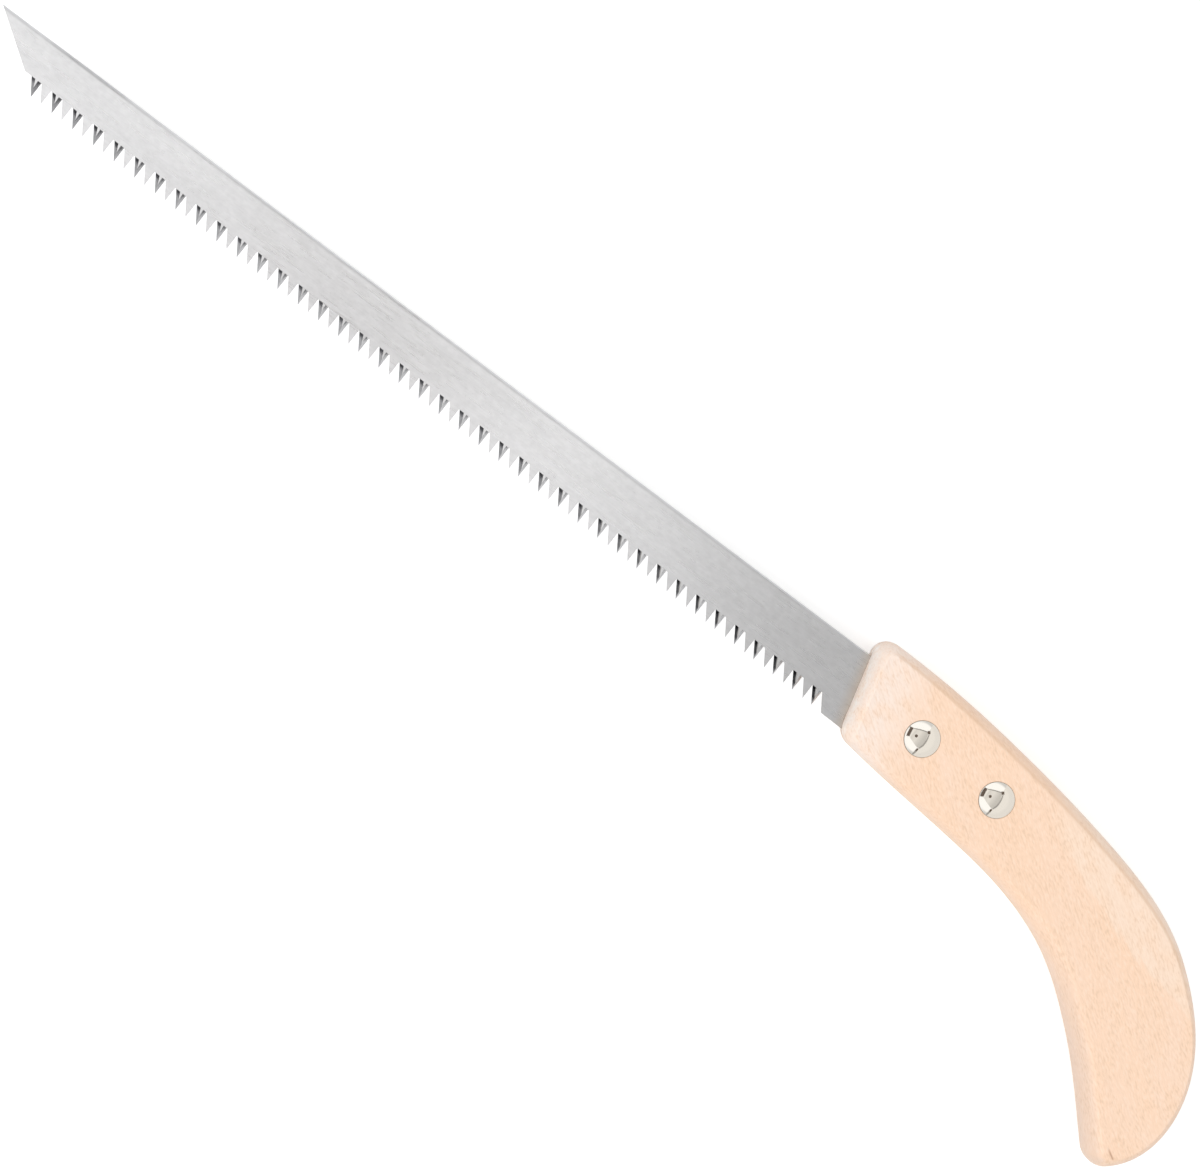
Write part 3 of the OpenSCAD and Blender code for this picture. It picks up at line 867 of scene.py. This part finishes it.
def tooth_cell(name, side):
    """A tooth with its tip at the origin, open where it joins its neighbours and the blade."""
    flat_z = -HALF_T * side
    bevel_z = HALF_T * side
    top = TOOTH_H + STRIP
    spots = {
        "left_top_flat": (CELL_LEFT, top, flat_z),
        "left_flat": (CELL_LEFT, TOOTH_H, flat_z),
        "toe_flat": (-TOOTH_W, TOOTH_H, flat_z),
        "heel_flat": (0, TOOTH_H, flat_z),
        "right_flat": (CELL_RIGHT, TOOTH_H, flat_z),
        "right_top_flat": (CELL_RIGHT, top, flat_z),
        "left_top_bevel": (CELL_LEFT, top, bevel_z),
        "left_bevel": (CELL_LEFT, TOOTH_H, bevel_z),
        "toe_bevel": (TOE_BEVEL - TOOTH_W, TOOTH_H, bevel_z),
        "heel_bevel": (-HEEL_BEVEL, TOOTH_H, bevel_z),
        "right_bevel": (CELL_RIGHT, TOOTH_H, bevel_z),
        "right_top_bevel": (CELL_RIGHT, top, bevel_z),
        "tip": (0, 0, flat_z - side * TOOTH_SET),
        "meet": (-BEVEL_MEET * TOOTH_W * (1 - BEVEL_RISE / TOOTH_H), TOOTH_H - BEVEL_RISE,
                 bevel_z - side * TOOTH_SET * BEVEL_RISE / TOOTH_H),
    }
    plain_faces = [
        ("left_top_bevel", "left_bevel", "toe_bevel", "heel_bevel", "right_bevel", "right_top_bevel"),
        ("toe_bevel", "meet", "heel_bevel"),
        ("left_top_flat", "right_top_flat", "right_flat", "heel_flat", "toe_flat", "left_flat"),
        ("toe_flat", "heel_flat", "tip"),
    ]
    ground_faces = [
        ("left_bevel", "left_flat", "toe_flat", "toe_bevel"),
        ("heel_bevel", "heel_flat", "right_flat", "right_bevel"),
        ("toe_bevel", "toe_flat", "meet"),
        ("toe_flat", "tip", "meet"),
        ("meet", "heel_flat", "heel_bevel"),
        ("meet", "tip", "heel_flat"),
    ]
    names = list(spots)
    order = 1 if side > 0 else -1
    faces = [[names.index(s) for s in face][::order] for face in plain_faces + ground_faces]
    mesh = bpy.data.meshes.new(name)
    mesh.from_pydata([Vector(p) * MM for p in spots.values()], [], faces)
    for material in (steel, ground_steel):
        mesh.materials.append(material)
    ground = mesh.attributes.new("ground", "BOOLEAN", "FACE")
    for i, value in enumerate(ground.data):
        value.value = i >= len(plain_faces)
    return put(name, mesh)


bevel_up = tooth_cell("tooth_bevel_up", 1)
bevel_down = tooth_cell("tooth_bevel_down", -1)
print("faces in a tooth", len(bevel_up.data.polygons))

# %% [markdown]
# Geometry Nodes lay the cells in a row. A line of points gets one cell each, the two cells
# taking turns by the point's number. The row is then turned by the tooth line's fall, put in
# its place, merged into one surface and given its two finishes.

# %% The row of teeth
WELD = 0.01

rows = bpy.data.node_groups.new("tooth_row", "GeometryNodeTree")
sockets = {}
for name, kind in (("Teeth", "NodeSocketInt"), ("Pitch", "NodeSocketFloat"), ("Fall", "NodeSocketFloat"),
                   ("First tip", "NodeSocketVector"), ("Bevel up", "NodeSocketObject"),
                   ("Bevel down", "NodeSocketObject"), ("Face steel", "NodeSocketMaterial"),
                   ("Ground steel", "NodeSocketMaterial")):
    sockets[name] = rows.interface.new_socket(name, in_out="INPUT", socket_type=kind)
rows.interface.new_socket("Row", in_out="OUTPUT", socket_type="NodeSocketGeometry")

given = add(rows, "NodeGroupInput").outputs
step = add(rows, "ShaderNodeCombineXYZ", X=given["Pitch"]).outputs[0]
line = add(rows, "GeometryNodeMeshLine", Count=given["Teeth"], Offset=step).outputs[0]
up_cell = add(rows, "GeometryNodeObjectInfo", Object=given["Bevel up"], As_Instance=True)
down_cell = add(rows, "GeometryNodeObjectInfo", Object=given["Bevel down"], As_Instance=True)
cells = add(rows, "GeometryNodeJoinGeometry")
rows.links.new(down_cell.outputs["Geometry"], cells.inputs[0])
rows.links.new(up_cell.outputs["Geometry"], cells.inputs[0])
number = add(rows, "GeometryNodeInputIndex").outputs[0]
turns = add(rows, "ShaderNodeMath", {"operation": "MODULO"}, _0=number, _1=2.0).outputs[0]
placed = add(rows, "GeometryNodeInstanceOnPoints", Points=line, Instance=cells.outputs[0],
             Pick_Instance=True, Instance_Index=turns).outputs[0]
solid = add(rows, "GeometryNodeRealizeInstances", Geometry=placed).outputs[0]
tilt = add(rows, "ShaderNodeCombineXYZ", Z=given["Fall"]).outputs[0]
moved = add(rows, "GeometryNodeTransform", Geometry=solid, Translation=given["First tip"],
            Rotation=tilt).outputs[0]
merged = add(rows, "GeometryNodeMergeByDistance", Geometry=moved, Distance=WELD * MM).outputs[0]
faced = add(rows, "GeometryNodeSetMaterial", Geometry=merged, Material=given["Face steel"]).outputs[0]
is_ground = add(rows, "GeometryNodeInputNamedAttribute", {"data_type": "BOOLEAN"}, Name="ground").outputs[0]
finished = add(rows, "GeometryNodeSetMaterial", Geometry=faced, Selection=is_ground,
               Material=given["Ground steel"]).outputs[0]
add(rows, "NodeGroupOutput", Row=finished)

blade = put("blade_steel", bpy.data.meshes.new("blade_steel"))
row = blade.modifiers.new("tooth_row", "NODES")
row.node_group = rows
values = {
    "Teeth": TOOTH_COUNT,
    "Pitch": PITCH * MM,
    "Fall": -FALL,
    "First tip": at(FIRST_TIP.x, FIRST_TIP.y),
    "Bevel up": bevel_up,
    "Bevel down": bevel_down,
    "Face steel": steel,
    "Ground steel": ground_steel,
}
for name, value in values.items():
    row[sockets[name].identifier] = value
plain(blade)
for cell in (bevel_up, bevel_down):
    bpy.data.objects.remove(cell)
print("faces in the row", len(blade.data.polygons), "materials", [m.name for m in blade.data.materials])

# %% [markdown]
# The plate is the rest of the blade: the slanted toe, the straight spine with its edge just
# broken, the plain land at the heel and the tang that the handle hides. Its lower edge has a
# point at each cell's border, so plate and teeth merge into one closed surface.

# %% The plate
TOE_ANGLE = 35.5
TANG_END_R = 8.0
TANG_NECK = 8.0
SPINE_BREAK = 0.35


def row_point(x, y):
    """A place given along and above the line of tips, from the first tip."""
    return FIRST_TIP + row_way * x + row_up * y


gullet_start = row_point(CELL_LEFT, TOOTH_H)
toe_low = Vector((-BLADE_REACH - gullet_start.y / math.tan(math.radians(TOE_ANGLE)), gullet_start.y))
land_start = row_point(ROW_L + PITCH, 0)
land_end = Vector((TANG_NECK, land_start.y - (TANG_NECK - land_start.x) * math.tan(FALL)))
borders = [row_point(CELL_LEFT + i * PITCH, TOOTH_H + STRIP) for i in range(TOOTH_COUNT + 1)]
tang_end = [Vector((TANG_L - TANG_END_R, -TANG_END_DROP)) + TANG_END_R * heading(a)
            for a in range(-90, 91, 9)]
edge = [Vector((-BLADE_REACH, 0)), toe_low, gullet_start]
joined = range(len(edge) - 1, len(edge) + len(borders))
edge += borders
edge += [row_point(ROW_L + CELL_RIGHT, TOOTH_H), row_point(ROW_L + GULLET_FLAT, TOOTH_H)]
edge += [land_start, land_end]
edge += tang_end
edge += [Vector((TANG_NECK, 0))]

work = bmesh.new()
work.from_mesh(blade.data)
high = [work.verts.new(at(p.x, p.y, HALF_T)) for p in edge]
low = [work.verts.new(at(p.x, p.y, -HALF_T)) for p in edge]
work.faces.new(high)
work.faces.new(list(reversed(low)))
for i in range(len(edge)):
    j = (i + 1) % len(edge)
    if i not in joined:
        work.faces.new((high[j], high[i], low[i], low[j]))
bmesh.ops.remove_doubles(work, verts=work.verts, dist=WELD * MM)
spine_y = at(0, 0).y
spine = [e for e in work.edges if e.calc_length() > BLADE_REACH * MM
         and all(abs(v.co.y - spine_y) < WELD * MM for v in e.verts)]
bmesh.ops.bevel(work, geom=spine, offset=SPINE_BREAK * MM, segments=2, profile=0.5, affect="EDGES",
                clamp_overlap=True)
open_edges = [e for e in work.edges if not e.is_manifold]
work.to_mesh(blade.data)
work.free()
print("spine edges", len(spine), "open edges", len(open_edges))

ground = blade.data.attributes.get("ground")
if ground:
    blade.data.attributes.remove(ground)
holes = [rod("hole_" + name, BORE_R, centre, -PAST, PAST)
         for name, centre in (("front", FRONT_RIVET), ("rear", REAR_RIVET))]
cut(blade, holes)
soften(blade, 12)
print("blade faces", len(blade.data.polygons))

# %% [markdown]
# The beech
#
# Beech is pale, pinkish and even. Its marks are small: tan flecks a millimetre or two long,
# where the rays are cut across, and faint fibres along the grain. On this handle the grain
# runs down towards the tail, about 34 degrees from the blade's line. That is halfway between
# the directions of its two ends, so neither end is weak. All of it is solid noise in
# millimetres, so the marks run round the edges as they do in real wood.

# %% Beech: the grain
GRAIN_ANGLE = math.radians(-34)
FLECK_L = 1.75
FLECK_W = 0.53
FIBRE_L = 16.0
FIBRE_W = 0.7
CLOUD_L = 60.0
CLOUD_W = 7.5
PATCH_L = 8.0
PATCH_W = 5.0
WAVER_L = 14.0
WAVER_W = 2.0

beech, tree = new_material("satin_beech")
place = measured(tree)
mm = add(tree, "ShaderNodeSeparateXYZ", Vector=place).outputs
with_grain = add(tree, "ShaderNodeVectorRotate", {"rotation_type": "Z_AXIS"}, Vector=place,
                 Angle=-GRAIN_ANGLE).outputs[0]
flecks = drawn_noise(tree, with_grain, FLECK_L, FLECK_W, 1.0)
fibres = drawn_noise(tree, with_grain, FIBRE_L, FIBRE_W, 3.0)
clouds = drawn_noise(tree, with_grain, CLOUD_L, CLOUD_W, 2.0)
patches = drawn_noise(tree, with_grain, PATCH_L, PATCH_W, 1.0)
waver = drawn_noise(tree, with_grain, WAVER_L, WAVER_W, 2.0)
waver = add(tree, "ShaderNodeMath", {"operation": "SUBTRACT"}, _0=waver, _1=0.5).outputs[0]
body = add(tree, "ShaderNodeValToRGB", stops=[(0.35, linear("FDD8B9")), (0.65, linear("FDDBC0"))],
           _0=clouds).outputs[0]
print("beech flecks", FLECK_L, "by", FLECK_W, "mm")

# %% [markdown]
# Larger marks make this piece of beech itself: a paler patch along the back that ends on a
# growth ring, and a short drying crack that runs into the tail. The ring is a parabola across
# the handle. Painted light and shade lie on the wood too. The front end is painted paler, as
# painted light from the lamp on the toe's side, with painted shade on its crown and more painted
# light at the very end. A thin tan line in the crease between the back and the flat sides is
# painted shade, on the side away from the lamp. The palm's rounded edge is painted a little
# greyer, as painted shade.

# %% Beech: the marks of this handle, and painted light and shade
FRONT_PAINTED_LIGHT = (24.0, 3.0)
FRONT_CROWN_SHADE = (4.6, 2.8)
FRONT_END_LIGHT = (1.6, 0.2)
FRONT_WAVER = 8.0
RING_START = (65.3, -5.5)
RING_SLOPE = -0.56
RING_BEND = 0.00335
RING_WAVER = 6.0
RING_EDGE = (-0.8, 1.4)
RING_FRONT = (60.0, 80.0)
RING_TAIL = (146.0, 124.0)
CREASE_SHADE_START = 0.05
CREASE_SHADE_PEAK = 0.35
CREASE_SHADE_END = 1.3
CREASE_SHADE_FRONT = (2.0, 7.0)
CREASE_SHADE_TAIL = (150.0, 105.0)
MIDDLE_LINE = (-8.0, -3.0)
MIDDLE_BEND = 0.0024
PALM_SHADE_REACH = (70.0, 125.0)
PALM_SHADE_LOW = (-0.25, -0.75)
PALM_SHADE_TOEWARDS = (0.3, -0.3)
CRACK_START = Vector((137.2, -71.4))
CRACK_L = 5.0
CRACK_ANGLE = -29
CRACK_W = 0.5
CRACK_FADES = (3.0, 4.2)
CRACK_DEPTH = 4.0

# Painted light: the front end paler, with painted shade on its crown and painted light at the very end.
front = add(tree, "ShaderNodeVectorMath", {"operation": "DOT_PRODUCT"}, _0=place,
            _1=(*heading(FRONT_SLANT), 0.0)).outputs["Value"]
wavy_front = add(tree, "ShaderNodeMath", {"operation": "MULTIPLY_ADD"}, _0=waver, _1=FRONT_WAVER,
                 _2=front).outputs[0]
body = lay(tree, body, "FBEBE0", 0.9, (wavy_front, *FRONT_PAINTED_LIGHT))
body = lay(tree, body, "F4E0D1", 0.5, (front, *FRONT_CROWN_SHADE))
body = lay(tree, body, "FFF8F2", 0.9, (front, *FRONT_END_LIGHT))

ring_x = add(tree, "ShaderNodeMath", {"operation": "SUBTRACT"}, _0=mm["X"], _1=RING_START[0]).outputs[0]
ring = add(tree, "ShaderNodeMath", {"operation": "MULTIPLY_ADD"}, _0=ring_x, _1=RING_BEND,
           _2=RING_SLOPE).outputs[0]
ring = add(tree, "ShaderNodeMath", {"operation": "MULTIPLY_ADD"}, _0=ring_x, _1=ring,
           _2=RING_START[1]).outputs[0]
above = add(tree, "ShaderNodeMath", {"operation": "SUBTRACT"}, _0=mm["Y"], _1=ring).outputs[0]
above = add(tree, "ShaderNodeMath", {"operation": "MULTIPLY_ADD"}, _0=waver, _1=RING_WAVER,
            _2=above).outputs[0]
body = lay(tree, body, "FDE6D1", 0.6, (above, *RING_EDGE), (mm["X"], *RING_FRONT),
           (mm["X"], *RING_TAIL))

fibre_share = add(tree, "ShaderNodeMapRange", Value=fibres, From_Min=0.42, From_Max=0.75,
                  To_Max=0.3).outputs[0]
body = lay(tree, body, "FBD5B4", 0.35, (patches, 0.42, 0.66))
body = lay(tree, body, "F0CCAE", fibre_share)
body = lay(tree, body, "FFE9D6", 0.3, (flecks, 0.48, 0.30))
body = lay(tree, body, "E3BE9B", 0.55, (flecks, 0.46, 0.76), (patches, 0.15, 0.65))

# Painted shade: a thin tan line in the crease along the back, on the side away from the lamp.
height = add(tree, "ShaderNodeMath", {"operation": "ABSOLUTE"}, _0=mm["Z"]).outputs[0]
depth = add(tree, "ShaderNodeMath", {"operation": "SUBTRACT"}, _0=SIDE_Z, _1=height).outputs[0]
middle = add(tree, "ShaderNodeMath", {"operation": "MULTIPLY"}, _0=mm["X"], _1=mm["X"]).outputs[0]
middle = add(tree, "ShaderNodeMath", {"operation": "MULTIPLY_ADD"}, _0=middle, _1=MIDDLE_BEND,
             _2=mm["Y"]).outputs[0]
body = lay(tree, body, "E8BE94", 0.4, (depth, CREASE_SHADE_START, CREASE_SHADE_PEAK), (depth, CREASE_SHADE_END, CREASE_SHADE_PEAK),
           (middle, *MIDDLE_LINE), (wavy_front, *CREASE_SHADE_FRONT), (mm["X"], *CREASE_SHADE_TAIL))

# Painted shade: the palm's rounded edge, facing low towards the toe, is made a little greyer.
facing = add(tree, "ShaderNodeNewGeometry").outputs["Normal"]
facing = add(tree, "ShaderNodeSeparateXYZ", Vector=facing).outputs
body = lay(tree, body, "EFF3FA", 1.0, (facing["Y"], *PALM_SHADE_LOW), (facing["X"], *PALM_SHADE_TOEWARDS),
           (mm["X"], *PALM_SHADE_REACH), blend="MULTIPLY")

crack = add(tree, "ShaderNodeVectorMath", {"operation": "SUBTRACT"}, _0=place,
            _1=(*CRACK_START, 0.0)).outputs[0]
crack_u = add(tree, "ShaderNodeVectorMath", {"operation": "DOT_PRODUCT"}, _0=crack,
              _1=(*heading(CRACK_ANGLE), 0.0)).outputs["Value"]
crack_v = add(tree, "ShaderNodeVectorMath", {"operation": "DOT_PRODUCT"}, _0=crack,
              _1=(*heading(CRACK_ANGLE + 90), 0.0)).outputs["Value"]
crack_v = add(tree, "ShaderNodeMath", {"operation": "ADD"}, _0=waver, _1=crack_v).outputs[0]
crack_v = add(tree, "ShaderNodeMath", {"operation": "ABSOLUTE"}, _0=crack_v).outputs[0]
body = lay(tree, body, "B07C58", 0.75, (crack_v, CRACK_W, 0.0), (crack_u, 0.0, CRACK_FADES[0]),
           (crack_u, CRACK_L, CRACK_FADES[1]), (mm["Z"], 0.0, CRACK_DEPTH))
print("the growth ring starts at", RING_START)

# %% [markdown]
# The wood is sanded fine and has a thin coat of clear satin lacquer. Seen straight on the
# lacquer hardly shows, but along the rounded edges, where it is seen at a low angle, it
# mirrors the white room and turns the outline a little greyer.

# %% Beech: the surface
rough = add(tree, "ShaderNodeMapRange", Value=fibres, To_Min=0.5, To_Max=0.66).outputs[0]
relief = add(tree, "ShaderNodeMath", {"operation": "ADD"}, _0=fibres, _1=flecks).outputs[0]
bump = add(tree, "ShaderNodeBump", Height=relief, Strength=0.1, Distance=0.05 * MM)
wood = add(tree, "ShaderNodeBsdfPrincipled", Base_Color=body, Roughness=rough, Normal=bump.outputs[0],
           IOR=1.5, Specular_IOR_Level=0.35, Coat_Weight=0.8, Coat_Roughness=0.3)
add(tree, "ShaderNodeOutputMaterial", Surface=wood.outputs[0])
handle.data.materials.clear()
handle.data.materials.append(beech)
print("beech is", beech.name)

# %% [markdown]
# Last, each piece rides on the saw's one body and stands in for its CAD node, which is hidden.

# %% Ride and replace
pieces = {"handle": (handle, "beech"), "blade": (blade, "saw_steel")}
pieces.update({node: (piece, "rivet") for node, piece in rivets.items()})
for node, (piece, slot) in pieces.items():
    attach(piece, "root")
    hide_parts(node)
    print(node, "->", piece.name, len(piece.data.polygons), "faces")
